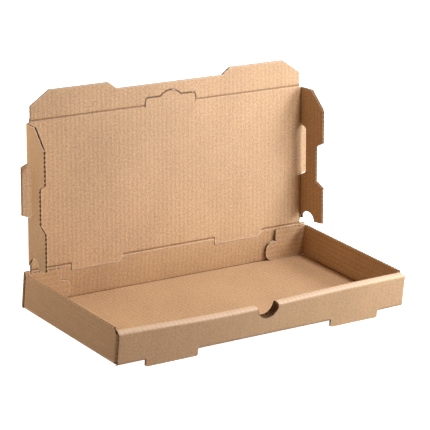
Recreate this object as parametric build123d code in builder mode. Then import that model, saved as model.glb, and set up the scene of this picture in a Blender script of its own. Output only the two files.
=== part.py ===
"""Flatbread box, sizes in millimetres.

One die-cut blank of corrugated board, folded: a tray with a double front wall,
and a hinged lid with three tuck flaps. X runs along the long side, the front faces -Y,
and the origin is the middle of the bottom panel's underside. The lid stands open.
It leans back a little past upright, its side flaps point forward and its front flap is flat.
"""

import math
import os

from build123d import *

# Board, and how it is crushed at a fold that moves
board = 3.0
fold_gap = 0.4
fold_bevel = 1.2
layer_gap = 0.4
cut_gap = 0.8

# Tray
inner_width = 406.4
outer_depth = 192.0
side_height = 42.4
front_height = 37.5
ridge_height = 39.0
front_thickness = 11.0
thumb_radius = 15.0

# Feet on the outer front wall, each cut out of the bottom with a slot behind it
foot_inner_x = 95.7
foot_outer_x = 167.2
foot_reach = 7.6
foot_corner = 3.0

# Corner flaps inside the rear wall, each with a round tongue on its lower half
corner_length = 46.0
tongue_length = 59.0
tongue_top = 27.5
tongue_radius = 10.0
front_corner_length = 55.0
relief_size = 2.0

# Lid
lid_length = 172.5
lid_lean = 7.5
flap_splay = 4.0
flap_inset = 7.5
lid_clearance = 0.3

# Tabs that stay in the lid's plane
hinge_tab_width = 71.0
hinge_tab_reach = 7.5
hinge_tab_starts = (-142.0, 65.0)
side_tab_start = 62.0
side_tab_end = 124.5
side_tab_slant = 3.6
side_tab_reach = 9.5
side_tab_corner = 2.5
front_tab_half = 36.5
front_tab_reach = 9.3
front_tab_corner = 4.5
thumb_bump_half = 14.7
thumb_bump_reach = 15.6

# Front flap: half widths, and heights above its fold
front_flap_half = 195.0
front_flap_edge = 16.5
front_flap_height = 33.4
front_flap_shoulder = 168.5
recess_top_half = 88.0
recess_half = 76.0
recess_height = 25.0

# Side flaps: reach from the fold, and places along the fold from the hinge
side_flap_reach = 40.5
side_flap_start = 5.3
side_flap_end = 170.0
side_flap_corner_reach = 19.5
side_flap_corner_start = 145.0
side_recess_reach = 28.8
side_recess_outer = (49.5, 106.0)
side_recess_inner = (57.0, 100.5)
half_moon_span = (1.2, 26.0)
half_moon_depth = 11.5

# Places worked out from the sizes above
outer_width = inner_width + 2 * board
wall_x = inner_width / 2
front_y = -outer_depth / 2
rear_y = outer_depth / 2
inner_front_y = front_y + front_thickness
corner_y = rear_y - 2 * board - layer_gap
hinge_y = rear_y - board / 2
hinge_z = side_height + lid_clearance + board / 2
flap_x = outer_width / 2 - flap_inset
foot_middle_x = (foot_inner_x + foot_outer_x) / 2
foot_width = foot_outer_x - foot_inner_x
strip_clear = front_height - board - layer_gap

lean = math.radians(lid_lean)
splay = math.radians(flap_splay)
lid_up = Vector(0, math.sin(lean), math.cos(lean))
lid_inward = Vector(0, -math.cos(lean), math.sin(lean))
lid_plane = Plane(origin=(0, hinge_y, hinge_z), x_dir=(1, 0, 0), z_dir=lid_inward)
front_fold = lid_plane.from_local_coords((0, lid_length, 0))
front_flap_plane = Plane(origin=front_fold, x_dir=(1, 0, 0), z_dir=lid_inward)

# Sketches of the tabs, which with a gap also give the cut-outs around them


def hinge_tab(start, gap=0.0):
    """A tab below the hinge: square at its left end, round at its right end."""
    left = start - gap
    right = start + hinge_tab_width + gap
    reach = hinge_tab_reach + gap
    with BuildSketch(mode=Mode.PRIVATE) as tab:
        with BuildLine():
            straight = Polyline(
                (right - reach, -reach),
                (left, -reach),
                (left, 2 * board),
                (right, 2 * board),
                (right, 0),
            )
            RadiusArc(straight @ 1, straight @ 0, reach)
        make_face()
    return tab.sketch


def side_tab(gap=0.0):
    """A tab beside the lid, drawn with x as the reach from the fold and y as the place along it."""
    tip = side_tab_reach + gap
    with BuildSketch(mode=Mode.PRIVATE) as tab:
        with BuildLine():
            Polyline(
                (-2 * board, side_tab_start - gap),
                (0, side_tab_start - gap),
                (tip, side_tab_start + side_tab_slant - gap),
                (tip, side_tab_end - side_tab_slant + gap),
                (0, side_tab_end + gap),
                (-2 * board, side_tab_end + gap),
                close=True,
            )
        make_face()
        fillet(tab.vertices().group_by(Axis.X)[-1], radius=side_tab_corner)
    return tab.sketch


def front_tab(gap=0.0):
    """The tab in front of the lid: round shoulders and a half-round bump for the thumb."""
    half = front_tab_half + gap
    top = front_tab_reach + gap
    bump_half = thumb_bump_half + gap
    with BuildSketch(mode=Mode.PRIVATE) as tab:
        with BuildLine():
            shoulders = Polyline(
                (-bump_half, top),
                (-half, top),
                (-half, -2 * board),
                (half, -2 * board),
                (half, top),
                (bump_half, top),
            )
            ThreePointArc(shoulders @ 0, (0, thumb_bump_reach + gap), shoulders @ 1)
        make_face()
        shoulder_corners = tab.vertices().filter_by(lambda v: abs(v.X) > half - 0.1 and v.Y > 0)
        fillet(shoulder_corners, radius=front_tab_corner + gap)
    return tab.sketch


with BuildPart() as tray:
    # One folded strip: the inner front wall, its rollover, the outer front wall, the bottom, the rear wall
    with BuildSketch(Plane.YZ) as strip:
        with BuildLine():
            inside = Polyline(
                (inner_front_y - board, board + layer_gap),
                (inner_front_y - board, ridge_height - board),
                (front_y + board, front_height - board),
                (front_y + board, board),
                (rear_y - board, board),
                (rear_y - board, hinge_z - fold_gap),
            )
            outside = Polyline(
                (inner_front_y, board + layer_gap),
                (inner_front_y, ridge_height),
                (front_y, front_height),
                (front_y, 0),
                (rear_y, 0),
                (rear_y, hinge_z - fold_gap),
            )
            Line(inside @ 0, outside @ 0)
            Line(inside @ 1, outside @ 1)
        make_face()
        folds = [(inner_front_y, ridge_height), (front_y, front_height), (front_y, 0), (rear_y, 0)]
        fillet([strip.vertices().sort_by_distance(fold)[0] for fold in folds], radius=board)
    extrude(amount=outer_width / 2, both=True)
    hinge_edge = tray.faces().sort_by(Axis.Z)[-1]
    chamfer(hinge_edge.edges().filter_by(Axis.X), length=fold_bevel)

    # The bottom ends at the side walls, and the inner front wall fits between them
    with BuildSketch(Plane.XY.offset(-board)):
        with Locations((-outer_width / 2, 0), (outer_width / 2, 0)):
            Rectangle(2 * board, outer_depth - 2 * board)
    extrude(amount=2 * board + layer_gap, mode=Mode.SUBTRACT)
    with BuildSketch(Plane.XY):
        with Locations((-outer_width / 2, inner_front_y), (outer_width / 2, inner_front_y)):
            Rectangle(2 * (board + cut_gap), 2 * board + 2 * layer_gap)
    extrude(amount=strip_clear, mode=Mode.SUBTRACT)

    # Side walls folded up from the bottom, lower where the rollover covers them
    full_start = inner_front_y + layer_gap
    wall_stretches = ((side_height, full_start, corner_y), (strip_clear, -corner_y, full_start))
    for wall_top, start_y, end_y in wall_stretches:
        with BuildSketch(Plane.XZ.offset(-end_y)):
            with BuildLine():
                Polyline((-wall_x, wall_top), (-wall_x, board), (wall_x, board), (wall_x, wall_top))
                offset(amount=board, side=Side.RIGHT, kind=Kind.ARC, closed=True)
            make_face()
        extrude(amount=end_y - start_y)

    # Corner flaps: the front ones stand in the double front wall, the rear ones inside the rear wall
    corner_flaps = ((-1, front_corner_length, strip_clear), (1, corner_length, side_height))
    for side in (-1, 1):
        for end, length, top in corner_flaps:
            outer_side = Side.LEFT if side * end < 0 else Side.RIGHT
            with BuildSketch(Plane.XY.offset(board + layer_gap)):
                with BuildLine():
                    wall_start = (side * wall_x, 0)
                    corner = (side * wall_x, end * corner_y)
                    flap_end = (side * (wall_x - length), end * corner_y)
                    Polyline(wall_start, corner, flap_end)
                    offset(amount=board, side=outer_side, kind=Kind.ARC, closed=True)
                make_face()
            extrude(amount=top - board - layer_gap)
        # The tongue, and the small relief cut above it
        with BuildSketch(Plane.XZ.offset(-corner_y - board)) as tongue:
            with Locations((side * (wall_x - tongue_length), board + layer_gap)):
                tongue_side = Align.MIN if side > 0 else Align.MAX
                tongue_height = tongue_top - board - layer_gap
                Rectangle(tongue_length - board, tongue_height, align=(tongue_side, Align.MIN))
            tips = tongue.vertices().group_by(Axis.X)[0 if side > 0 else -1]
            fillet(tips, radius=tongue_radius)
        extrude(amount=board)
        with BuildSketch(Plane.XZ.offset(-corner_y - board)):
            with Locations((side * (wall_x - corner_length), tongue_top + relief_size / 2)):
                Rectangle(2 * relief_size, relief_size)
        extrude(amount=board, mode=Mode.SUBTRACT)

    # Feet below the outer front wall, the slots they leave, and the inner wall's locking tabs in them
    with BuildSketch(Plane.XZ.offset(-front_y - board)) as feet:
        with Locations((-foot_middle_x, -foot_reach), (foot_middle_x, -foot_reach)):
            Rectangle(foot_width, foot_reach + 2 * board, align=(Align.CENTER, Align.MIN))
        fillet(feet.vertices().group_by(Axis.Y)[0], radius=foot_corner)
    extrude(amount=board)
    with BuildSketch(Plane.XY):
        with Locations((-foot_middle_x, front_y + board), (foot_middle_x, front_y + board)):
            Rectangle(foot_width, front_thickness - board + layer_gap, align=(Align.CENTER, Align.MIN))
    extrude(amount=board, mode=Mode.SUBTRACT)
    with BuildSketch(Plane.XY.offset(layer_gap)):
        with Locations((-foot_middle_x, inner_front_y), (foot_middle_x, inner_front_y)):
            Rectangle(foot_width - 2 * cut_gap, board, align=(Align.CENTER, Align.MAX))
    extrude(amount=2 * board)

    # Thumb notch through both layers of the front wall
    with BuildSketch(Plane.XZ.offset(-inner_front_y)):
        with Locations((0, front_height)):
            Circle(thumb_radius)
    extrude(amount=front_thickness, mode=Mode.SUBTRACT)

    # Notches in the rear wall for the lid's hinge tabs
    with BuildSketch(Plane.XZ.offset(board - rear_y)):
        for start in hinge_tab_starts:
            with Locations((0, hinge_z)):
                add(hinge_tab(start, cut_gap))
    extrude(amount=-board, mode=Mode.SUBTRACT)
tray.part.label = "tray"

with BuildPart() as lid_panel:
    with BuildSketch(lid_plane):
        with Locations((0, lid_length / 2)):
            Rectangle(2 * (flap_x - fold_gap), lid_length - 2 * fold_gap)
    extrude(amount=board / 2, both=True)
    # The board is crushed along all four folds, and stays whole at the tabs
    chamfer(lid_panel.faces().filter_by(lid_plane).edges(), length=fold_bevel)
    with BuildSketch(lid_plane):
        for start in hinge_tab_starts:
            add(hinge_tab(start))
        with Locations((flap_x, 0)):
            add(side_tab())
        with Locations((-flap_x, 0)):
            add(mirror(side_tab(), about=Plane.YZ, mode=Mode.PRIVATE))
        with Locations((0, lid_length)):
            add(front_tab())
    extrude(amount=board / 2, both=True)
lid_panel.part.label = "lid_panel"

with BuildPart() as lid_front_flap:
    with BuildSketch(front_flap_plane):
        with BuildLine():
            Polyline(
                (0, fold_gap),
                (front_flap_half, fold_gap),
                (front_flap_half, front_flap_edge),
                (front_flap_shoulder, front_flap_height),
                (recess_top_half, front_flap_height),
                (recess_half, recess_height),
                (0, recess_height),
            )
            mirror(about=Plane.YZ)
        make_face()
    extrude(amount=board / 2, both=True)
    fold_face = lid_front_flap.faces().sort_by(Axis.Z)[0]
    chamfer(fold_face.edges().filter_by(Axis.X), length=fold_bevel)
    with BuildSketch(front_flap_plane):
        add(front_tab(cut_gap))
    extrude(amount=board, both=True, mode=Mode.SUBTRACT)
lid_front_flap.part.label = "lid_front_flap"


def side_flap(side, name):
    """A side flap of the lid. Its sketch has x as the reach from the fold and y as the place along it."""
    reach_direction = lid_inward * math.cos(splay) + Vector(side, 0, 0) * math.sin(splay)
    fold_point = lid_plane.from_local_coords((side * flap_x, 0, 0))
    flap_plane = Plane(fold_point, x_dir=reach_direction, z_dir=reach_direction.cross(lid_up))
    moon_start, moon_end = half_moon_span
    moon_middle = (moon_start + moon_end) / 2
    with BuildPart() as flap:
        with BuildSketch(flap_plane):
            with BuildLine():
                Polyline(
                    (moon_end, side_flap_start),
                    (side_flap_reach, side_flap_start),
                    (side_flap_reach, side_recess_outer[0]),
                    (side_recess_reach, side_recess_inner[0]),
                    (side_recess_reach, side_recess_inner[1]),
                    (side_flap_reach, side_recess_outer[1]),
                    (side_flap_reach, side_flap_corner_start),
                    (side_flap_corner_reach, side_flap_end - 1),
                    (fold_gap, side_flap_end),
                    (fold_gap, side_flap_start),
                    (moon_start, side_flap_start),
                )
                moon_top = (moon_middle, side_flap_start + half_moon_depth)
                ThreePointArc((moon_start, side_flap_start), moon_top, (moon_end, side_flap_start))
            make_face()
        extrude(amount=board / 2, both=True)
        fold_face = flap.faces().sort_by(Axis(fold_point, reach_direction))[0]
        chamfer(fold_face.edges().filter_by(Axis(fold_point, lid_up)), length=fold_bevel)
        with BuildSketch(flap_plane):
            add(side_tab(cut_gap))
        extrude(amount=board, both=True, mode=Mode.SUBTRACT)
    flap.part.label = name
    return flap


lid_left_flap = side_flap(-1, "lid_left_flap")
lid_right_flap = side_flap(1, "lid_right_flap")

os.makedirs("parts", exist_ok=True)
for piece in (tray, lid_panel, lid_front_flap, lid_left_flap, lid_right_flap):
    export_step(piece.part, f"parts/{piece.part.label}.step")
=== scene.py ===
"""Flatbread box: every wall is a sheet of single-wall corrugated board, cut and folded from its blank.

Sizes are in millimetres until a mesh is made, and X, Y and Z are the frame's. In a blank, u runs across
the flutes and v along them, and w is the depth into the board, from its outer face (0) to its inner face.
"""

import math

import bpy
import numpy as np
from mathutils import Matrix, Vector
from mathutils.geometry import delaunay_2d_cdt


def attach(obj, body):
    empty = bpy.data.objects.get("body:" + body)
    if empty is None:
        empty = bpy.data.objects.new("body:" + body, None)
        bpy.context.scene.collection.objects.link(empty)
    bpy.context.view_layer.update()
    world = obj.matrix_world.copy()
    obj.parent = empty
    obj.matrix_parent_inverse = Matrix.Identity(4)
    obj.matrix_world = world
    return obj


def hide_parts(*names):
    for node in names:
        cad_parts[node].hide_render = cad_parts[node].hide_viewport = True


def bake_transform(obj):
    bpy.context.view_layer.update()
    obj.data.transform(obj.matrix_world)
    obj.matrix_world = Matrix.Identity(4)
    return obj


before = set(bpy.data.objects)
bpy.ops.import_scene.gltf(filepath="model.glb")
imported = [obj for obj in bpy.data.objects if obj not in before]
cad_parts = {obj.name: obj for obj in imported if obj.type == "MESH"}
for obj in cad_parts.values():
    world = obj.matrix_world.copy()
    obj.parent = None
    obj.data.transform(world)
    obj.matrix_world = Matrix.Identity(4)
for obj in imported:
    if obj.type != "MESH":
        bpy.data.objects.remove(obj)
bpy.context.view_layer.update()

# Board
BOARD = 3.0
LINER = 0.38
MEDIUM = 0.34
FLUTE = 6.14
OUTER_WASHBOARD = 0.02
INNER_WASHBOARD = 0.06
MID = BOARD / 2
FOLD_RADIUS = 2.0
FOLD_MARGIN = 0.7
CREASE_HALF = 1.7
CREASE_DEPTH = 0.38
CREASE_SPREAD = 1.15
TOOTH = 5.2
TOOTH_DEPTH = 1.0
TOOTH_PINCH = 0.95
EDGE_BAND = 1.4
# Pale band along the cut edges: a painted highlight where a cut edge catches the light.
EDGE_HIGHLIGHT = 0.7
# Painted shade along the creases of the inner face.
SCORE_SHADE = 0.5
# Painted shade on the cuts round the thumb hole and the front tab.
CUT_SHADE = 0.9
FLUTE_INSET = 2.4
LAYER_GAP = 0.4
CUT_GAP = 0.35
PRESSED = 0.02
TOOTH_MARGIN = 0.1
MERGE_STEP = 0.004
MAP_STEP = 1000.0
ROUND_SPARE = 0.1

# Tray
WALL_X = 203.2
OUTER_X = 206.2
FRONT_Y = -96.0
REAR_Y = 96.0
SIDE_HEIGHT = 42.4
FRONT_HEIGHT = 37.5
RIDGE_HEIGHT = 39.0
FRONT_THICKNESS = 11.0
INNER_FRONT_Y = FRONT_Y + FRONT_THICKNESS
CORNER_Y = REAR_Y - 2 * BOARD - LAYER_GAP
STRIP_CLEAR = FRONT_HEIGHT - BOARD - LAYER_GAP
THUMB_RADIUS = 15.0
THUMB_SHOULDER = 2.0
REAR_TOP_GAP = 0.4
FOOT_INNER = 95.7
FOOT_OUTER = 167.2
FOOT_REACH = 7.6
FOOT_CORNER = 3.0
CORNER_LENGTH = 46.0
TONGUE_LENGTH = 59.0
TONGUE_TOP = 27.5
TONGUE_CORNER = 10.0
TONGUE_STEP = 2.0
FRONT_CORNER_LENGTH = 55.0
WALL_ROWS = (-60, -30, 0, 30, 60)
FOLD_FADE = 4.0

# Sag of the front wall, and the painted highlight on its rollover
SAG_DEPTH = 4.8
SAG_X = -50.0
SAG_SPREAD = 130.0
SAG_LIFT = 2.0
SAG_START = 4.0
STRIP_HIGHLIGHT = 0.6
STRIP_FADE = 0.6

# Lid
HINGE_Y = REAR_Y - MID
HINGE_Z = 44.2
LID_LENGTH = 172.5
LID_LEAN = math.radians(7.5)
LID_ROWS = (45, 90, 130)
SCORE_ROWS = (2.4, 3.4, 5)
FLAP_X = 198.7
FLAP_SPLAY = math.radians(4.0)
HINGE_TABS = ((-142.0, -71.0), (65.0, 136.0))
HINGE_TAB_REACH = 7.5
SIDE_TAB = (62.0, 124.5)
SIDE_TAB_SLANT = 3.6
SIDE_TAB_REACH = 9.5
SIDE_TAB_CORNER = 2.5
FRONT_TAB_HALF = 36.5
FRONT_TAB_REACH = 9.3
FRONT_TAB_CORNER = 4.5
BUMP_HALF = 14.7
BUMP_REACH = 15.6
FRONT_FLAP_HALF = 195.0
FRONT_FLAP_REACH = 33.4
FRONT_CORNER_START = 16.5
FRONT_CORNER_X = 168.5
FRONT_RECESS_X = (76.0, 88.0)
FRONT_RECESS_REACH = 25.0
SIDE_FLAP = (5.3, 170.0)
FLAP_ROWS = (30, 80, 130)
SIDE_FLAP_REACH = 40.5
SIDE_RECESS = (49.5, 57.0, 100.5, 106.0)
SIDE_RECESS_REACH = 28.8
SIDE_CORNER_START = 145.0
SIDE_CORNER_REACH = 19.5
MOON_REACH = 26.0
MOON_MIDDLE = 13.6
MOON_DEPTH = 11.5

UP = np.array((0.0, math.sin(LID_LEAN), math.cos(LID_LEAN)))
INWARD = np.array((0.0, -math.cos(LID_LEAN), math.sin(LID_LEAN)))
ACROSS = np.array((1.0, 0.0, 0.0))
HINGE = np.array((0.0, HINGE_Y, HINGE_Z))


# Outlines


def arc(start, top, end, steps=12):
    """Points on the circle through three points, from start to end, both included."""
    (ax, ay), (bx, by), (cx, cy) = start, top, end
    d = 2 * (ax * (by - cy) + bx * (cy - ay) + cx * (ay - by))
    a2, b2, c2 = ax * ax + ay * ay, bx * bx + by * by, cx * cx + cy * cy
    ox = (a2 * (by - cy) + b2 * (cy - ay) + c2 * (ay - by)) / d
    oy = (a2 * (cx - bx) + b2 * (ax - cx) + c2 * (bx - ax)) / d
    first, middle, last = (math.atan2(y - oy, x - ox) for x, y in (start, top, end))
    full = 2 * math.pi
    turn = (last - first) % full
    if (middle - first) % full > turn:
        turn -= full
    radius = math.hypot(ax - ox, ay - oy)
    angles = [first + turn * k / steps for k in range(steps + 1)]
    return [(ox + radius * math.cos(a), oy + radius * math.sin(a)) for a in angles]


def rounded(points, steps=6):
    """A closed outline. A point with a third number is a corner rounded to that radius."""
    made = []
    count = len(points)
    for i, point in enumerate(points):
        if len(point) == 2:
            made.append(tuple(point))
            continue
        here = Vector(point[:2])
        back = (Vector(points[i - 1][:2]) - here).normalized()
        ahead = (Vector(points[(i + 1) % count][:2]) - here).normalized()
        half = back.angle(ahead) / 2
        reach = point[2] / math.tan(half)
        middle = here + (back + ahead).normalized() * (point[2] / math.sin(half) - point[2])
        made += arc(tuple(here + back * reach), tuple(middle), tuple(here + ahead * reach), steps)
    return made


def mirrored(points):
    """The outline's mirror image in u."""
    return [(-point[0], *point[1:]) for point in reversed(points)]


def wound(loop, sign):
    """The loop, run so that its signed area has this sign."""
    area = sum(ax * by - bx * ay for (ax, ay), (bx, by) in zip(loop, loop[1:] + loop[:1]))
    return loop if area * sign > 0 else loop[::-1]


def inset(loop, reach):
    """The loop moved by reach to its left."""
    made = []
    for before, here, after in zip(loop[-1:] + loop[:-1], loop, loop[1:] + loop[:1]):
        first = (Vector(here) - Vector(before)).normalized()
        second = (Vector(after) - Vector(here)).normalized()
        half = (first.orthogonal() + second.orthogonal()) / 2
        made.append(tuple(Vector(here) + half * (reach / max(half.length_squared, 0.3))))
    return made


def drawn_in(loop, reach):
    """The loop with its edges along the flutes moved by reach to their left."""
    made = list(loop)
    for i, (ax, ay) in enumerate(loop):
        j = (i + 1) % len(loop)
        bx, by = loop[j]
        if abs(ax - bx) < 1e-6 and abs(ay - by) > 2 * reach:
            shift = math.copysign(reach, ay - by)
            made[i] = (ax + shift, made[i][1])
            made[j] = (bx + shift, made[j][1])
    return made


def toothed(loop, edges):
    """The loop with the bite marks of a toothed rule on its edges along the flutes at one of these u."""
    made = []
    for (ax, ay), (bx, by) in zip(loop, loop[1:] + loop[:1]):
        made.append((ax, ay))
        along = abs(ax - bx) < 1e-6 and abs(ay - by) > TOOTH
        if along and any(abs(abs(ax) - edge) < 1e-3 for edge in edges):
            steps = int(abs(ay - by) / TOOTH * 4)
            for k in range(1, steps):
                v = ay + (by - ay) * k / steps
                bite = TOOTH_DEPTH * (0.5 - 0.5 * math.cos(2 * math.pi * v / TOOTH))
                made.append((ax + math.copysign(bite, ay - by), v))
    return made


# Folds


class FoldedPath:
    """The board's middle line in a plane, with a round fold at each inner corner."""

    def __init__(self, corners, radius=FOLD_RADIUS):
        corners = [np.array(c, float) for c in corners]
        self.runs = []
        at = 0.0
        spare = 0.0
        for i, (a, b) in enumerate(zip(corners, corners[1:])):
            way = (b - a) / np.linalg.norm(b - a)
            length = np.linalg.norm(b - a) - spare
            turn = cut = 0.0
            if i + 2 < len(corners):
                after = corners[i + 2] - b
                turn = math.atan2(way[0] * after[1] - way[1] * after[0], way @ after)
                cut = radius * math.tan(abs(turn) / 2)
            self.runs.append((at, length - cut, a + way * spare, way, 0.0))
            at += length - cut
            if turn:
                bend = math.copysign(1 / radius, turn)
                self.runs.append((at, radius * abs(turn), b - way * cut, way, bend))
                at += radius * abs(turn)
            spare = cut

    def read_from(self, run, axis, value):
        """The same path, with its length read from where a straight run reaches a coordinate."""
        zero = self.at(run, axis, value)
        self.runs = [(at - zero, *rest) for at, *rest in self.runs]
        return self

    def __call__(self, s, depth):
        """Places at length s and at depth into the board, as two arrays."""
        s = np.asarray(s, float)
        x, y = np.zeros_like(s), np.zeros_like(s)
        for i, (at, length, start, way, bend) in enumerate(self.runs):
            low = -np.inf if i == 0 else at - 1e-9
            high = np.inf if i == len(self.runs) - 1 else at + length - 1e-9
            here = (s >= low) & (s < high)
            t = s[here] - at
            side = depth[here] - MID
            left = np.array((-way[1], way[0]))
            if bend:
                angle = t * bend
                along = np.sin(angle) / bend
                aside = (1 - np.cos(angle)) / bend
                x[here] = start[0] + way[0] * along + left[0] * aside
                y[here] = start[1] + way[1] * along + left[1] * aside
                x[here] += side * (left[0] * np.cos(angle) - way[0] * np.sin(angle))
                y[here] += side * (left[1] * np.cos(angle) - way[1] * np.sin(angle))
            else:
                x[here] = start[0] + way[0] * t + left[0] * side
                y[here] = start[1] + way[1] * t + left[1] * side
        return x, y

    def at(self, run, axis, value):
        """The length at which a straight run reaches a coordinate."""
        start, _, point, way, _ = self.runs[2 * run]
        return start + (value - point[axis]) / way[axis]

    def folds(self, steps=5):
        """Lengths at which the folds need a row of points, with one more row just before and after each."""
        made = []
        for at, length, _, _, bend in self.runs:
            if bend:
                made += [at - FOLD_MARGIN, at + length + FOLD_MARGIN]
                made += [at + length * k / steps for k in range(steps + 1)]
        return made


# The board


def triangles(loops, columns, rows, bands=()):
    """Points and triangles that fill an outline and its holes, with edges on the columns, rows and bands."""
    points, edges = [], []
    for loop in (*loops, *bands):
        first = len(points)
        points += [Vector(p) for p in loop]
        edges += [(first + k, first + (k + 1) % len(loop)) for k in range(len(loop))]
    low, high = np.min(loops[0], 0), np.max(loops[0], 0)
    for u in columns:
        if low[0] + 1e-6 < u < high[0] - 1e-6:
            edges.append((len(points), len(points) + 1))
            points += [Vector((u, low[1])), Vector((u, high[1]))]
    for v in rows:
        if low[1] + 1e-6 < v < high[1] - 1e-6:
            edges.append((len(points), len(points) + 1))
            points += [Vector((low[0], v)), Vector((high[0], v))]
    flat, _, faces, _, _, _ = delaunay_2d_cdt(points, edges, [], 0, 1e-5)
    flat = np.array([tuple(p) for p in flat])
    faces = np.array([f for f in faces if len(f) == 3])
    middle = flat[faces].mean(1)
    inside = np.zeros(len(faces), bool)
    for loop in loops:
        for (ax, ay), (bx, by) in zip(loop, loop[1:] + loop[:1]):
            if ay != by:
                crosses = (middle[:, 1] < ay) != (middle[:, 1] < by)
                inside ^= crosses & (middle[:, 0] < ax + (bx - ax) * (middle[:, 1] - ay) / (by - ay))
    return flat, faces[inside]


def flute_columns(low, high, steps):
    """Places across the flutes, steps to a flute."""
    first, last = math.ceil(low * steps / FLUTE), math.floor(high * steps / FLUTE)
    return [k * FLUTE / steps for k in range(first, last + 1)]


def layer_depths(layer, swell, crush, pinch):
    """How deep a layer's two faces lie in the board. swell is 1 where a flute touches the inner liner."""
    soft = 1 - np.minimum(1, 2 * crush)
    outer = OUTER_WASHBOARD * soft * swell + pinch
    inner = BOARD - INNER_WASHBOARD * soft * (1 - swell) - pinch
    if layer == "outer":
        near, far = outer, outer + LINER
    elif layer == "inner":
        near, far = inner - LINER, inner
    else:
        crest = (inner - outer) / 2 - LINER - MEDIUM / 2
        middle = (inner + outer) / 2 + crest * (2 * swell - 1)
        near, far = middle - MEDIUM / 2, middle + MEDIUM / 2
    return near * (1 - crush), far * (1 - crush)


def none(u, v):
    return np.zeros_like(u)


# A painted highlight along every cut edge.
def all_edges(u, v):
    return np.full_like(u, EDGE_HIGHLIGHT)


LAYERS = {"outer": 4, "flutes": 6, "inner": 4}


class Board:
    """One mesh of corrugated board: an outer liner, an inner liner and the fluted sheet between them."""

    def __init__(self, name):
        self.name = name
        self.layers = {layer: [] for layer in LAYERS}

    def panel(
        self, place, outline, holes=(), rows=(), press=none, painted_light=none, pale=all_edges, teeth=(),
        fluted=True, edged=True,
    ):
        """Adds a flat or folded stretch. place gives (u, v, w) a place in space, press the share by which the
        board is crushed, the function after press the share of painted light in the colour, pale the same at
        cut edges, and teeth where in u a toothed rule cut. A share above zero is a painted highlight and one
        below zero is painted shade. The inner face also gets painted shade along its creases."""
        loops = [wound(outline, 1), *(wound(hole, -1) for hole in holes)]
        bands = [inset(loop, EDGE_BAND) for loop in loops] if edged else []
        low, high = min(p[0] for p in outline), max(p[0] for p in outline)
        for layer, steps in LAYERS.items():
            columns = flute_columns(low, high, steps)
            if layer == "flutes":
                if not fluted:
                    continue
                reach = FLUTE_INSET if edged else 0.0
                uv, faces = triangles([drawn_in(loop, reach) for loop in loops], columns, rows)
            else:
                uv, faces = triangles([toothed(loop, teeth) for loop in loops], columns, rows, bands)
            u, v = uv.T
            crush = press(u, v)
            swell = 0.5 + 0.5 * np.sin(2 * math.pi * u / FLUTE)
            bitten = np.zeros(len(uv), bool)
            for edge in teeth:
                bitten |= np.abs(np.abs(u) - edge) < TOOTH_DEPTH + TOOTH_MARGIN
            tooth = 0.5 + 0.5 * np.cos(2 * math.pi * v / TOOTH)
            pinch = TOOTH_PINCH * tooth**2 * (bitten & on_boundary(len(uv), faces))
            near, far = layer_depths(layer, swell, crush, pinch)
            painted_share = painted_light(u, v)
            # Painted shade along the creases of the inner face, darkest where the board is crushed most.
            if layer == "inner":
                painted_share = painted_share - SCORE_SHADE * (crush / CREASE_DEPTH) ** 2
            # At cut edges the pale function adds its painted highlight or painted shade, on a toothed cut
            # only at the tips of its bites, and not where the board is pressed.
            at_edge = painted_share + pale(u, v) * (crush < PRESSED) * np.where(bitten, tooth, 1)
            self.layers[layer].append((place(u, v, near), place(u, v, far), uv, faces, painted_share, at_edge))

    def build(self, finish):
        """The finished object, in metres."""
        points, faces, maps, painted_lights, slots, smooth = [], [], [], [], [], []
        first = 0
        for number, (layer, parts) in enumerate(self.layers.items()):
            if not parts:
                continue
            near, far, uv, tris, painted_light, at_edge = joined(parts)
            count = len(near)
            rim = rim_edges(tris)
            if layer != "flutes":
                # Points on the rim take the cut edges' painted highlight or painted shade.
                painted_light = np.where(on_boundary(count, tris), at_edge, painted_light)
            walls = np.stack([rim[:, 1], rim[:, 0], rim[:, 0] + count, rim[:, 1] + count], 1)
            shell = np.concatenate([near, far])
            under, over = tris[:, ::-1], tris + count
            if signed_volume(shell, np.concatenate([under, over])) < 0:
                under, over, walls = under[:, ::-1], over[:, ::-1], walls[:, ::-1]
            for group, flat in ((under, False), (over, False), (walls, True)):
                faces += (group + first).tolist()
                smooth += [not flat] * len(group)
                slots += [2 if flat and layer == "flutes" else number] * len(group)
            points.append(shell)
            maps.append(np.concatenate([uv, uv]) + (MAP_STEP * number, 0.0))
            painted_lights.append(np.concatenate([painted_light, painted_light]))
            first += 2 * count
        mesh = bpy.data.meshes.new(self.name)
        mesh.from_pydata((np.concatenate(points) / 1000).tolist(), [], faces)
        mesh.polygons.foreach_set("use_smooth", smooth)
        mesh.polygons.foreach_set("material_index", slots)
        corners = np.empty(len(mesh.loops), int)
        mesh.loops.foreach_get("vertex_index", corners)
        sides = np.empty(len(mesh.loops), int)
        mesh.loops.foreach_get("edge_index", sides)
        sizes = np.empty(len(mesh.polygons), int)
        mesh.polygons.foreach_get("loop_total", sizes)
        sharp = np.zeros(len(mesh.edges), bool)
        sharp[sides[np.repeat(~np.array(smooth), sizes)]] = True
        mesh.edges.foreach_set("use_edge_sharp", sharp)
        blank = mesh.uv_layers.new(name="blank")
        blank.uv.foreach_set("vector", (np.concatenate(maps) / 1000)[corners].ravel())
        # The point attribute of painted highlight and painted shade that the finish reads.
        mesh.attributes.new("painted_light", "FLOAT", "POINT").data.foreach_set("value", np.concatenate(painted_lights))
        for layer in self.layers:
            mesh.materials.append(finish[layer])
        mesh.validate()
        mesh.update()
        piece = bpy.data.objects.new(self.name, mesh)
        bpy.context.scene.collection.objects.link(piece)
        return piece


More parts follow.
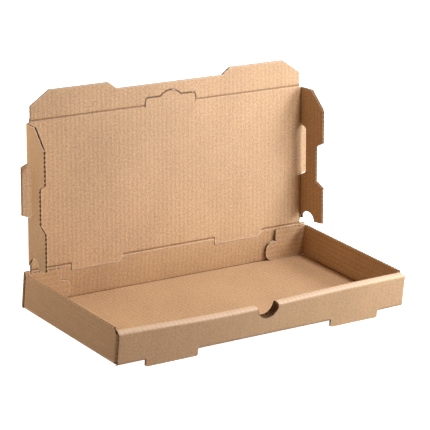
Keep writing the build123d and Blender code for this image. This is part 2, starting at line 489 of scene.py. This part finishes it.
def joined(parts):
    """The panels of one layer as one sheet, with the points that they share merged."""
    offsets = np.cumsum([0] + [len(part[0]) for part in parts])
    near, far, uv, painted_light, at_edge = (np.concatenate([part[k] for part in parts]) for k in (0, 1, 2, 4, 5))
    tris = np.concatenate([part[3] + offset for part, offset in zip(parts, offsets)])
    keys = np.round(np.concatenate([near, far], 1) / MERGE_STEP).astype(int)
    _, kept, merged = np.unique(keys, axis=0, return_index=True, return_inverse=True)
    tris = merged.ravel()[tris]
    whole = (tris[:, 0] != tris[:, 1]) & (tris[:, 1] != tris[:, 2]) & (tris[:, 2] != tris[:, 0])
    return near[kept], far[kept], uv[kept], tris[whole], painted_light[kept], at_edge[kept]


def rim_edges(tris):
    """The directed edges that only one triangle has."""
    edges = np.concatenate([tris[:, [0, 1]], tris[:, [1, 2]], tris[:, [2, 0]]])
    _, index, count = np.unique(np.sort(edges, 1), axis=0, return_inverse=True, return_counts=True)
    return edges[count[index.ravel()] == 1]


def on_boundary(count, tris):
    """Which points are on the sheet's rim."""
    found = np.zeros(count, bool)
    found[rim_edges(tris).ravel()] = True
    return found


def signed_volume(points, tris):
    a, b, c = points[tris[:, 0]], points[tris[:, 1]], points[tris[:, 2]]
    return np.einsum("ij,ij->i", a, np.cross(b, c)).sum()


def near_line(distance):
    """1 on a crease, falling off to both sides."""
    return np.exp(-((distance / CREASE_SPREAD) ** 2))


# Materials


def grey(value):
    return (value, value, value)


def kraft(name, base, light, relief, ribs, grain):
    """Brown kraft paper: fibres, specks and slow changes of tone, with painted shade in stripes along the
    flutes, and painted highlights and painted shade at edges, creases and cuts.
    """
    material = bpy.data.materials.new(name)
    material.use_nodes = True
    nodes, links = material.node_tree.nodes, material.node_tree.links
    shader = nodes["Principled BSDF"]
    shader.inputs["Roughness"].default_value = 0.6
    shader.inputs["Specular IOR Level"].default_value = 0.35

    def node(kind, **values):
        made = nodes.new(kind)
        for key, value in values.items():
            setattr(made, key, value)
        return made

    def wire(source, target):
        links.new(source, target)

    blank = node("ShaderNodeUVMap", uv_map="blank")

    def noise(scale_u, scale_v, detail, rough):
        """Noise in the blank, with features 1 / scale metres long each way."""
        mapping = node("ShaderNodeMapping")
        mapping.inputs["Scale"].default_value = (scale_u, scale_v, 1.0)
        wire(blank.outputs["UV"], mapping.inputs["Vector"])
        texture = node("ShaderNodeTexNoise", noise_dimensions="2D")
        texture.inputs["Scale"].default_value = 1.0
        texture.inputs["Detail"].default_value = detail
        texture.inputs["Roughness"].default_value = rough
        wire(mapping.outputs["Vector"], texture.inputs["Vector"])
        return texture.outputs["Fac"]

    def ramp(value, stops):
        made = node("ShaderNodeValToRGB")
        elements = made.color_ramp.elements
        while len(elements) < len(stops):
            elements.new(0.5)
        for element, (place, colour) in zip(elements, stops):
            element.position = place
            element.color = (*colour, 1.0)
        wire(value, made.inputs["Fac"])
        return made.outputs["Color"]

    def mix(kind, share, first, second):
        made = node("ShaderNodeMix", data_type="RGBA", blend_type=kind)
        if isinstance(share, float):
            made.inputs["Factor"].default_value = share
        else:
            wire(share, made.inputs["Factor"])
        wire(first, made.inputs["A"])
        if isinstance(second, tuple):
            made.inputs["B"].default_value = (*second, 1.0)
        else:
            wire(second, made.inputs["B"])
        return made.outputs["Result"]

    deep, bright = (tuple(c * share for c in base) for share in (0.93, 1.07))
    tone = ramp(noise(14, 9, 2.0, 0.5), ((0.20, deep), (0.80, bright)))
    fibres = ramp(noise(560, 430, 2.0, 0.6), ((0.25, grey(1 - grain)), (0.75, grey(1 + grain))))
    specks = ramp(noise(900, 620, 2.0, 0.5), ((0.24, grey(0.62)), (0.34, grey(1.0)), (1.0, grey(1.0))))
    cloud = ramp(noise(140, 60, 2.0, 0.5), ((0.30, grey(0.975)), (0.70, grey(1.025))))
    colour = mix("MULTIPLY", 1.0, tone, fibres)
    colour = mix("MULTIPLY", 1.0, colour, specks)
    colour = mix("MULTIPLY", 1.0, colour, cloud)

    # Stripes across the flutes: painted shade of the washboard ripples in the liners.
    split = node("ShaderNodeSeparateXYZ")
    wire(blank.outputs["UV"], split.inputs["Vector"])
    wave = node("ShaderNodeMath", operation="MULTIPLY")
    wave.inputs[1].default_value = 2 * math.pi * 1000 / FLUTE
    wire(split.outputs["X"], wave.inputs[0])
    crest = node("ShaderNodeMath", operation="SINE")
    wire(wave.outputs["Value"], crest.inputs[0])
    shown = node("ShaderNodeMapRange")
    shown.inputs["From Min"].default_value = -1.0
    wire(crest.outputs["Value"], shown.inputs["Value"])
    painted_ripple_shade = ramp(shown.outputs["Result"], ((0.0, grey(1 - ribs)), (1.0, grey(1 + ribs))))
    colour = mix("MULTIPLY", 1.0, colour, painted_ripple_shade)

    # Painted light from the point attribute: above zero it mixes toward the pale highlight colour, below zero
    # it multiplies in painted shade.
    painted_share = node("ShaderNodeAttribute", attribute_name="painted_light")
    painted_shade = node("ShaderNodeMath", operation="MULTIPLY", use_clamp=True)
    painted_shade.inputs[1].default_value = -1.0
    wire(painted_share.outputs["Fac"], painted_shade.inputs[0])
    colour = mix("MIX", painted_share.outputs["Fac"], colour, light)
    colour = mix("MULTIPLY", painted_shade.outputs["Value"], colour, PAINTED_SHADE)
    wire(colour, shader.inputs["Base Color"])

    bump = node("ShaderNodeBump")
    bump.inputs["Strength"].default_value = relief
    bump.inputs["Distance"].default_value = 0.00012
    wire(noise(700, 420, 4.0, 0.65), bump.inputs["Height"])
    wire(bump.outputs["Normal"], shader.inputs["Normal"])
    return material


# Colour of the painted shade in creases and dark cuts.
PAINTED_SHADE = (0.20, 0.15, 0.11)
# The second colour of each pair is the pale colour of painted highlights.
PAPER = ((0.540, 0.370, 0.215), (0.780, 0.640, 0.480))
# The fluted sheet is near black: painted shade for the shadowed grooves between the liners at cut edges and
# in the thumb hole.
FLUTES_PAINTED_SHADE = ((0.030, 0.020, 0.012), (0.070, 0.048, 0.030))
FINISH = {
    "outer": kraft("kraft_outer", *PAPER, 0.45, 0.012, 0.14),
    "flutes": kraft("kraft_flutes_painted_shade", *FLUTES_PAINTED_SHADE, 0.40, 0.0, 0.10),
    "inner": kraft("kraft_inner", *PAPER, 0.60, 0.045, 0.20),
}


# The tray


def mid_ridge(y):
    """Height of the rollover strip's middle line."""
    slope = (RIDGE_HEIGHT - FRONT_HEIGHT) / FRONT_THICKNESS
    return RIDGE_HEIGHT - (INNER_FRONT_Y - y) * slope - MID * math.hypot(1, slope)


INNER_MID_Y = INNER_FRONT_Y - MID
FRONT_MID_Y = FRONT_Y + MID
WALL_MID_X = WALL_X + MID
STRIP_CORNERS = (
    (INNER_MID_Y, LAYER_GAP),
    (INNER_MID_Y, mid_ridge(INNER_MID_Y)),
    (FRONT_MID_Y, mid_ridge(FRONT_MID_Y)),
    (FRONT_MID_Y, MID),
    (HINGE_Y, MID),
    (HINGE_Y, HINGE_Z),
)
SIDE_CORNERS = (
    (WALL_X - FRONT_CORNER_LENGTH, -CORNER_Y - MID),
    (WALL_MID_X, -CORNER_Y - MID),
    (WALL_MID_X, CORNER_Y + MID),
    (WALL_X - TONGUE_LENGTH, CORNER_Y + MID),
)
strip_path = FoldedPath(STRIP_CORNERS).read_from(3, 0, 0.0)
side_path = FoldedPath(SIDE_CORNERS).read_from(1, 1, 0.0)
wall_path = FoldedPath(((0.0, MID), (WALL_MID_X, MID), (WALL_MID_X, SIDE_HEIGHT)))
WALL_FOLD_START = wall_path.runs[1][0]
WALL_FOLD_END = WALL_FOLD_START + wall_path.runs[1][1]
FOLD_TOP = MID + FOLD_RADIUS

# Lengths along the strip, from the inner front wall's foot to the hinge
V_INNER_TAB = strip_path.at(0, 1, LAYER_GAP)
V_INNER_LOW = strip_path.at(0, 1, BOARD + LAYER_GAP)
V_RIDGE = strip_path.runs[1][0]
V_FRONT_TOP = strip_path.runs[3][0] + strip_path.runs[3][1]
V_FRONT_LOW = strip_path.runs[5][0]
V_BOTTOM = strip_path.runs[6][0]
V_SLOT = strip_path.at(3, 0, INNER_FRONT_Y + LAYER_GAP)
V_REAR = strip_path.runs[7][0]
V_HINGE = strip_path.at(4, 1, HINGE_Z)
V_CREASE = V_HINGE - CREASE_HALF
INNER_CLEAR = WALL_X - CUT_GAP


def front_sag(x):
    """How far the rolled-over front wall has sagged, along its length."""
    return SAG_DEPTH * np.exp(-(((x - SAG_X) / SAG_SPREAD) ** 2)) - SAG_LIFT


def place_strip(u, v, w):
    y, z = strip_path(v, w)
    share = np.clip((z - SAG_START) / (FRONT_HEIGHT - SAG_START), 0, 1.2) * (y < INNER_FRONT_Y + 1.0)
    return np.stack([u, y, z - front_sag(u) * share], 1)


def place_foot(u, v, w):
    z = FOLD_TOP - (v - V_FRONT_LOW)
    return np.stack([u, FRONT_Y + w, z], 1)


def place_side(side):
    """The side wall and its corner flaps. u reads on from the bottom, through the fold and up the wall."""

    def place(u, v, w):
        x, y = side_path(v, w)
        z = FOLD_TOP + np.abs(u) - WALL_FOLD_END
        return np.stack([side * x, y, z], 1)

    return place


def place_wall_fold(side):
    def place(u, v, w):
        x, z = wall_path(np.abs(u), w)
        return np.stack([side * x, v, z], 1)

    return place


def wall_u(z):
    """Where height z on a side wall is in the blank."""
    return WALL_FOLD_END + z - FOLD_TOP


def strip_highlight(u, v):
    """A pale painted highlight on the rollover strip and its two folds, a little stronger on the flute tips.
    """
    end = strip_path.runs[3][0] + strip_path.runs[3][1] / 2
    beyond = np.maximum(0, np.abs(v - (V_RIDGE + end) / 2) - (end - V_RIDGE) / 2)
    ribs = 0.8 + 0.2 * np.sin(2 * math.pi * u / FLUTE)
    return STRIP_HIGHLIGHT * ribs * np.exp(-((beyond / STRIP_FADE) ** 2))


def strip_pale(u, v):
    """Painted shade on the cut round the thumb hole, and a painted highlight along the other edges."""
    in_front = v < strip_path.at(2, 1, 0.0)
    return np.where((np.abs(u) < THUMB_RADIUS + 2) & in_front, -CUT_SHADE, EDGE_HIGHLIGHT)


def wall_press(u, v):
    """The score lines between the bottom and the side walls."""
    middle = (WALL_FOLD_START + WALL_FOLD_END) / 2
    return CREASE_DEPTH * near_line(np.abs(u) - middle) * np.clip((CORNER_Y - np.abs(v)) / FOLD_FADE, 0, 1)


def strip_press(u, v):
    """The score lines at the hinge and under the rear wall, and those of the side walls."""
    at, length = strip_path.runs[7][:2]
    across = near_line(v - V_HINGE) + near_line(v - at - length / 2)
    return np.maximum(CREASE_DEPTH * across, wall_press(u, v))


def strip_outline():
    """The inner front wall, the rollover, the outer front wall, the bottom and the rear wall, laid flat."""
    notch = HINGE_TAB_REACH + CUT_GAP
    tab_in, tab_out = FOOT_INNER + CUT_GAP, FOOT_OUTER - CUT_GAP
    right = [
        (tab_in, V_INNER_LOW),
        (tab_in, V_INNER_TAB),
        (tab_out, V_INNER_TAB),
        (tab_out, V_INNER_LOW),
        (INNER_CLEAR, V_INNER_LOW),
        (INNER_CLEAR, V_RIDGE),
        (OUTER_X, V_FRONT_TOP),
        (OUTER_X, V_BOTTOM),
        (WALL_X, V_BOTTOM),
        (WALL_X, -CORNER_Y),
        (WALL_FOLD_START, -CORNER_Y),
        (WALL_FOLD_START, CORNER_Y),
        (WALL_X, CORNER_Y),
        (WALL_X, V_REAR),
        (OUTER_X, V_REAR),
        (OUTER_X, V_HINGE - REAR_TOP_GAP),
        (FLAP_X, V_HINGE - REAR_TOP_GAP),
        (FLAP_X, V_CREASE),
    ]
    notches = []
    for start, end in reversed(HINGE_TABS):
        notches += [
            (end + CUT_GAP, V_CREASE),
            (end + CUT_GAP, V_HINGE - notch, notch - ROUND_SPARE),
            (start - CUT_GAP, V_HINGE - notch),
            (start - CUT_GAP, V_CREASE),
        ]
    return rounded(right + notches + mirrored(right))


def slot_outline(side):
    """A slot through the bottom, from which a foot is bent down and into which the inner wall's tab goes."""
    near, far = side * FOOT_INNER, side * FOOT_OUTER
    return [(near, V_FRONT_LOW), (far, V_FRONT_LOW), (far, V_SLOT), (near, V_SLOT)]


def thumb_outline():
    """The half-round thumb hole through the inner wall, the rollover and the outer wall."""
    shoulder, dip = FRONT_HEIGHT - THUMB_SHOULDER, FRONT_HEIGHT - THUMB_RADIUS
    half = math.sqrt(THUMB_RADIUS**2 - THUMB_SHOULDER**2)
    inner_top, inner_dip = (strip_path.at(0, 1, z) for z in (shoulder, dip))
    outer_top, outer_dip = (strip_path.at(2, 1, z) for z in (shoulder, dip))
    inner = arc((-half, inner_top), (0, inner_dip), (half, inner_top), 20)
    outer = arc((half, outer_top), (0, outer_dip), (-half, outer_top), 20)
    return inner + outer


def foot_outline(side):
    near, far = sorted((side * FOOT_INNER, side * FOOT_OUTER))
    low = V_FRONT_LOW + FOLD_TOP + FOOT_REACH
    ends = [(far, low, FOOT_CORNER), (near, low, FOOT_CORNER)]
    return rounded([(near, V_FRONT_LOW), (far, V_FRONT_LOW), *ends])


def wall_outline():
    """A side wall with its front corner flap and its rear one, which ends in a lower tongue."""
    low, high = wall_u(BOARD + LAYER_GAP), wall_u(SIDE_HEIGHT)
    clear = wall_u(STRIP_CLEAR)
    tongue = wall_u(TONGUE_TOP)
    front_end = side_path.at(0, 0, WALL_X - FRONT_CORNER_LENGTH)
    rear_end = side_path.at(2, 0, WALL_X - CORNER_LENGTH)
    tongue_end = side_path.at(2, 0, WALL_X - TONGUE_LENGTH)
    return rounded(
        [
            (low, front_end),
            (low, -CORNER_Y),
            (WALL_FOLD_END, -CORNER_Y),
            (WALL_FOLD_END, CORNER_Y),
            (low, CORNER_Y),
            (low, tongue_end, TONGUE_CORNER),
            (tongue, tongue_end, TONGUE_CORNER),
            (tongue, rear_end - TONGUE_STEP),
            (tongue + TONGUE_STEP, rear_end - TONGUE_STEP),
            (tongue + TONGUE_STEP, rear_end),
            (high, rear_end),
            (high, INNER_FRONT_Y + LAYER_GAP),
            (clear, -CORNER_Y - MID),
            (clear, front_end),
        ]
    )


def make_tray():
    board = Board("tray_board")
    rows = strip_path.folds() + [V_CREASE, V_HINGE - 3, V_HINGE - 6]
    rows += [strip_path.at(0, 1, 18), strip_path.at(2, 1, 18), V_BOTTOM, -CORNER_Y, CORNER_Y, V_REAR]
    holes = [slot_outline(-1), slot_outline(1), thumb_outline()]
    teeth = (OUTER_X, INNER_CLEAR, WALL_X)
    board.panel(place_strip, strip_outline(), holes, rows, strip_press, strip_highlight, strip_pale, teeth)
    steps = 5
    fold_width = WALL_FOLD_END - WALL_FOLD_START
    strips = [WALL_FOLD_START + fold_width * k / steps for k in range(steps + 1)]
    side_rows = side_path.folds() + list(WALL_ROWS)
    for side in (-1, 1):
        board.panel(place_foot, foot_outline(side), teeth=(FOOT_INNER, FOOT_OUTER))
    for side in (-1, 1):
        facing = mirrored if side < 0 else list
        wall = facing(wall_outline())
        board.panel(place_side(side), wall, rows=side_rows, press=wall_press, teeth=(wall_u(SIDE_HEIGHT),))
        for near, far in zip(strips, strips[1:]):
            strip = facing([(near, -CORNER_Y), (far, -CORNER_Y), (far, CORNER_Y), (near, CORNER_Y)])
            board.panel(place_wall_fold(side), strip, rows=WALL_ROWS, press=wall_press, edged=False)
    piece = board.build(FINISH)
    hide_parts("tray")
    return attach(piece, "tray")


# The lid


def place_plane(origin, along_u, along_v, inward):
    """A flat panel. w runs from the outer face along inward."""

    def place(u, v, w):
        return origin + np.outer(u, along_u) + np.outer(v, along_v) + np.outer(w - MID, inward)

    return place


def lid_pale(u, v):
    """Painted shade on the front tab's cut, and a painted highlight along the lid's other edges."""
    return np.where(v < LID_LENGTH - 10, EDGE_HIGHLIGHT, -CUT_SHADE)


def lid_press(u, v):
    across = near_line(v) + near_line(v - LID_LENGTH)
    sides = near_line(np.abs(u) - FLAP_X)
    tab = np.zeros_like(u)
    for start, end in HINGE_TABS:
        tab = np.maximum(tab, (u > start - 1) & (u < end + 1) & (v < 20))
    tab = np.maximum(tab, (np.abs(u) < FRONT_TAB_HALF + 1) & (v > LID_LENGTH - 20))
    side_tab = (v > SIDE_TAB[0] - 1) & (v < SIDE_TAB[1] + 1)
    return CREASE_DEPTH * np.clip(across * (1 - tab) + sides * (1 - side_tab), 0, 1)


def flap_pale(u, v):
    """Painted shade on the cut round the front tab, and a painted highlight along the other edges."""
    near_tab = (np.abs(u) < FRONT_TAB_HALF + 2) & (v < BUMP_REACH + 2)
    return np.where(near_tab, -CUT_SHADE, EDGE_HIGHLIGHT)


def front_tab_points(gap=0.0):
    """The front tab's outline from right to left, in heights above its fold."""
    half, top, bump = FRONT_TAB_HALF + gap, FRONT_TAB_REACH + gap, BUMP_HALF + gap
    return [
        (half, top, FRONT_TAB_CORNER + gap),
        *arc((bump, top), (0, BUMP_REACH + gap), (-bump, top), 16),
        (-half, top, FRONT_TAB_CORNER + gap),
    ]


def make_lid():
    edge_x = FLAP_X - CREASE_HALF
    low, high = CREASE_HALF, LID_LENGTH - CREASE_HALF
    tab_start, tab_end = SIDE_TAB
    tip = FLAP_X + SIDE_TAB_REACH
    outline = [(-edge_x, low)]
    for start, end in HINGE_TABS:
        outline += [(start, low), (start, -HINGE_TAB_REACH)]
        outline += [(end, -HINGE_TAB_REACH, HINGE_TAB_REACH - ROUND_SPARE), (end, low)]
    side = [
        (edge_x, low),
        (edge_x, tab_start),
        (FLAP_X, tab_start),
        (tip, tab_start + SIDE_TAB_SLANT, SIDE_TAB_CORNER),
        (tip, tab_end - SIDE_TAB_SLANT, SIDE_TAB_CORNER),
        (FLAP_X, tab_end),
        (edge_x, tab_end),
        (edge_x, high),
    ]
    outline += side + [(FRONT_TAB_HALF, high)]
    outline += [(p[0], p[1] + LID_LENGTH, *p[2:]) for p in front_tab_points()]
    outline += [(-FRONT_TAB_HALF, high), *mirrored(side)][:-1]
    rows = [low, *SCORE_ROWS, high, *(LID_LENGTH - reach for reach in SCORE_ROWS), *LID_ROWS]
    place = place_plane(HINGE, ACROSS, UP, INWARD)
    board = Board("lid_board")
    board.panel(place, rounded(outline), rows=rows, press=lid_press, pale=lid_pale, teeth=(tip,))
    piece = board.build(FINISH)
    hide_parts("lid_panel")
    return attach(piece, "lid")


def press_at_u(u, v):
    return CREASE_DEPTH * near_line(u)


def press_at_v(u, v):
    return CREASE_DEPTH * near_line(v)


def make_front_flap():
    """The front tuck flap, with a recess in its edge and the cut-out round the front tab."""
    low = CREASE_HALF
    recess_in, recess_out = FRONT_RECESS_X
    right = [
        (FRONT_FLAP_HALF, low),
        (FRONT_FLAP_HALF, FRONT_CORNER_START),
        (FRONT_CORNER_X, FRONT_FLAP_REACH),
        (recess_out, FRONT_FLAP_REACH),
        (recess_in, FRONT_RECESS_REACH),
    ]
    edge = FRONT_TAB_HALF + CUT_GAP
    tab = reversed(front_tab_points(CUT_GAP))
    outline = rounded(right + mirrored(right) + [(-edge, low), *tab, (edge, low)])
    place = place_plane(HINGE + UP * LID_LENGTH, ACROSS, UP, INWARD)
    board = Board("front_flap_board")
    rows = [*SCORE_ROWS, 14]
    board.panel(place, outline, rows=rows, press=press_at_v, pale=flap_pale, teeth=(FRONT_FLAP_HALF,))
    piece = board.build(FINISH)
    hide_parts("lid_front_flap")
    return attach(piece, "front_flap")


def flap_reach(side):
    return INWARD * math.cos(FLAP_SPLAY) + ACROSS * side * math.sin(FLAP_SPLAY)


def make_side_flap(side, name, node, body):
    """A side flap. u is the reach from its fold, so its flutes run with the fold."""
    start, end = SIDE_FLAP
    recess_start, waist_start, waist_end, recess_end = SIDE_RECESS
    low = CREASE_HALF
    tab_reach = SIDE_TAB_REACH + CUT_GAP
    tab_start, tab_end = SIDE_TAB
    moon = arc((MOON_REACH, start), (MOON_MIDDLE, start + MOON_DEPTH), (low, start + 1.0), 16)
    outline = [
        *reversed(moon),
        (SIDE_FLAP_REACH, start),
        (SIDE_FLAP_REACH, recess_start),
        (SIDE_RECESS_REACH, waist_start),
        (SIDE_RECESS_REACH, waist_end),
        (SIDE_FLAP_REACH, recess_end),
        (SIDE_FLAP_REACH, SIDE_CORNER_START),
        (SIDE_CORNER_REACH, end - 1),
        (low, end),
        (low, tab_end + CUT_GAP),
        (tab_reach, tab_end - SIDE_TAB_SLANT + CUT_GAP, SIDE_TAB_CORNER),
        (tab_reach, tab_start + SIDE_TAB_SLANT - CUT_GAP, SIDE_TAB_CORNER),
        (low, tab_start - CUT_GAP),
    ]
    inner = ACROSS * -side * math.cos(FLAP_SPLAY) + INWARD * math.sin(FLAP_SPLAY)
    place = place_plane(HINGE + ACROSS * side * FLAP_X, flap_reach(side), UP, inner)
    board = Board(name)
    teeth = (SIDE_FLAP_REACH, SIDE_RECESS_REACH, tab_reach)
    board.panel(place, rounded(outline), rows=FLAP_ROWS, press=press_at_u, teeth=teeth)
    piece = board.build(FINISH)
    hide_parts(node)
    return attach(piece, body)


# Creases


def crease_path(before, after, inward):
    """The middle line through a fold, the length at the fold, and half the length of its bend. before and
    after point away from the fold on its two sides."""
    turn = math.atan2(after @ inward, after @ -before)
    far = 10.0
    if abs(turn) < 1e-3:
        return FoldedPath(((-far, 0.0), (far, 0.0))), far, CREASE_HALF
    radius = CREASE_HALF / math.tan(abs(turn) / 2)
    path = FoldedPath(((-far, 0.0), (0.0, 0.0), (after @ -before * far, after @ inward * far)), radius)
    at, length = path.runs[1][:2]
    return path, at + length / 2, length / 2


def make_crease(name, fold, before, after, inward, spans):
    """The board that runs through a fold across its flutes, bent through the fold's turn."""
    path, middle, half = crease_path(before, after, inward)
    steps = 10
    rows = [-half + 2 * half * k / steps for k in range(1, steps)]

    def place(u, v, w):
        x, y = path(v + middle, w)
        return fold + np.outer(x, -before) + np.outer(y, inward) + np.outer(u, ACROSS)

    def press(u, v):
        return CREASE_DEPTH * near_line(v * CREASE_HALF / half)

    board = Board(name)
    for low, high in spans:
        outline = [(low, -half), (high, -half), (high, half), (low, half)]
        board.panel(place, outline, rows=rows, press=press, fluted=False, edged=False)
    piece = board.build(FINISH)
    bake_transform(piece)


def make_side_crease(side, name, body):
    """The board through a side fold, whose flutes run with it. It parts along its middle, so that one half
    moves with the lid and the other with the flap."""
    before = ACROSS * -side
    path, middle, half = crease_path(before, flap_reach(side), INWARD)
    fold = HINGE + ACROSS * side * FLAP_X
    spans = ((SIDE_FLAP[0] + 1, SIDE_TAB[0] - CUT_GAP), (SIDE_TAB[1] + CUT_GAP, SIDE_FLAP[1]))
    steps = 5

    def place(u, v, w):
        x, y = path(u + middle, w)
        return fold + np.outer(x, -before) + np.outer(y, INWARD) + np.outer(v, UP)

    def press(u, v):
        return CREASE_DEPTH * near_line(u * CREASE_HALF / half)

    for part, rider, start in (("lid", "lid", -half), ("flap", body, 0.0)):
        board = Board(f"{name}_{part}_half")
        for low, high in spans:
            for k in range(steps):
                near, far = start + half * k / steps, start + half * (k + 1) / steps
                outline = [(near, low), (far, low), (far, high), (near, high)]
                board.panel(place, outline, press=press, fluted=False, edged=False)
        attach(board.build(FINISH), rider)


def make_creases():
    (a, b), (c, d) = HINGE_TABS
    edge = FLAP_X - CREASE_HALF
    hinge_spans = ((-edge, a - CUT_GAP), (b + CUT_GAP, c - CUT_GAP), (d + CUT_GAP, edge))
    down, toward_front = np.array((0.0, 0.0, -1.0)), np.array((0.0, -1.0, 0.0))
    make_crease("hinge_crease", HINGE, down, UP, toward_front, hinge_spans)
    tab = FRONT_TAB_HALF + CUT_GAP
    front_spans = ((-FRONT_FLAP_HALF, -tab), (tab, FRONT_FLAP_HALF))
    make_crease("front_crease", HINGE + UP * LID_LENGTH, -UP, UP, INWARD, front_spans)
    make_side_crease(-1, "left_crease", "left_flap")
    make_side_crease(1, "right_crease", "right_flap")


# Stage


BOX_MIDDLE = (0.0, 0.0, 0.06)


def make_stage():
    """A white floor through the feet and the rear fold, lit so that it reads as plain white."""
    tip = math.atan2(FOOT_REACH, REAR_Y - FRONT_MID_Y)
    mesh = bpy.data.meshes.new("floor")
    size = 12.0
    corners = [(-size, -size, 0), (size, -size, 0), (size, size, 0), (-size, size, 0)]
    mesh.from_pydata(corners, [], [(0, 1, 2, 3)])
    floor = bpy.data.objects.new("floor", mesh)
    floor.rotation_euler = (tip, 0, 0)
    floor.location = (0, FRONT_MID_Y / 1000, -(FOOT_REACH + 0.2) / 1000)
    material = bpy.data.materials.new("white_floor")
    material.use_nodes = True
    shader = material.node_tree.nodes["Principled BSDF"]
    shader.inputs["Base Color"].default_value = (0.8, 0.8, 0.8, 1)
    shader.inputs["Emission Color"].default_value = (1, 1, 1, 1)
    shader.inputs["Emission Strength"].default_value = 0.85
    mesh.materials.append(material)
    bpy.context.scene.collection.objects.link(floor)
    floor.visible_diffuse = False

    world = bpy.data.worlds.new("studio")
    world.use_nodes = True
    world.node_tree.nodes["Background"].inputs["Color"].default_value = (1, 0.70, 0.48, 1)
    world.node_tree.nodes["Background"].inputs["Strength"].default_value = 0.19
    bpy.context.scene.world = world


def add_light(name, place, size, power, colour=(1, 1, 1)):
    """A round soft light, aimed at the box."""
    lamp = bpy.data.lights.new(name, "AREA")
    lamp.shape = "DISK"
    lamp.size = size
    lamp.energy = power
    lamp.color = colour
    light = bpy.data.objects.new(name, lamp)
    light.location = place
    light.rotation_euler = (Vector(BOX_MIDDLE) - Vector(place)).to_track_quat("-Z", "Y").to_euler()
    light.visible_camera = False
    bpy.context.scene.collection.objects.link(light)


def make_lights():
    cool = (1.0, 0.99, 1.08)
    warm = (1.0, 0.88, 0.78)
    add_light("key", (0.8, -0.4, 0.5), 0.4, 5.0, cool)
    add_light("top", (0.35, -0.3, 0.75), 0.25, 4.0, cool)
    add_light("front", (0.55, -0.6, 0.12), 0.3, 2.0)
    add_light("left", (-0.5, 0.2, 0.3), 0.3, 0.85, warm)
    add_light("back", (-0.2, 1.3, 0.45), 0.6, 3.0)


def make_camera():
    """A long lens, a little above the box and to its left, with the small roll of the photo."""
    azimuth, elevation, roll = math.radians(38.56), math.radians(18.96), math.radians(4.80)
    ahead = math.cos(elevation)
    forward = Vector((ahead * math.sin(azimuth), ahead * math.cos(azimuth), -math.sin(elevation)))
    level = Vector((math.cos(azimuth), -math.sin(azimuth), 0))
    above = level.cross(forward)
    right = level * math.cos(roll) + above * math.sin(roll)
    up = right.cross(forward)
    camera = bpy.data.objects.new("camera", bpy.data.cameras.new("camera"))
    camera.data.lens = 194.1
    camera.data.clip_end = 50
    matrix = Matrix((right, up, -forward)).transposed().to_4x4()
    matrix.translation = (-1.5770, -1.9633, 0.9776)
    camera.matrix_world = matrix
    bpy.context.scene.collection.objects.link(camera)
    bpy.context.scene.camera = camera


make_tray()
make_lid()
make_front_flap()
make_side_flap(-1, "left_flap_board", "lid_left_flap", "left_flap")
make_side_flap(1, "right_flap_board", "lid_right_flap", "right_flap")
make_creases()
make_stage()
make_lights()
make_camera()
bpy.context.scene.view_settings.view_transform = "Standard"
bpy.context.scene.view_settings.look = "Medium High Contrast"
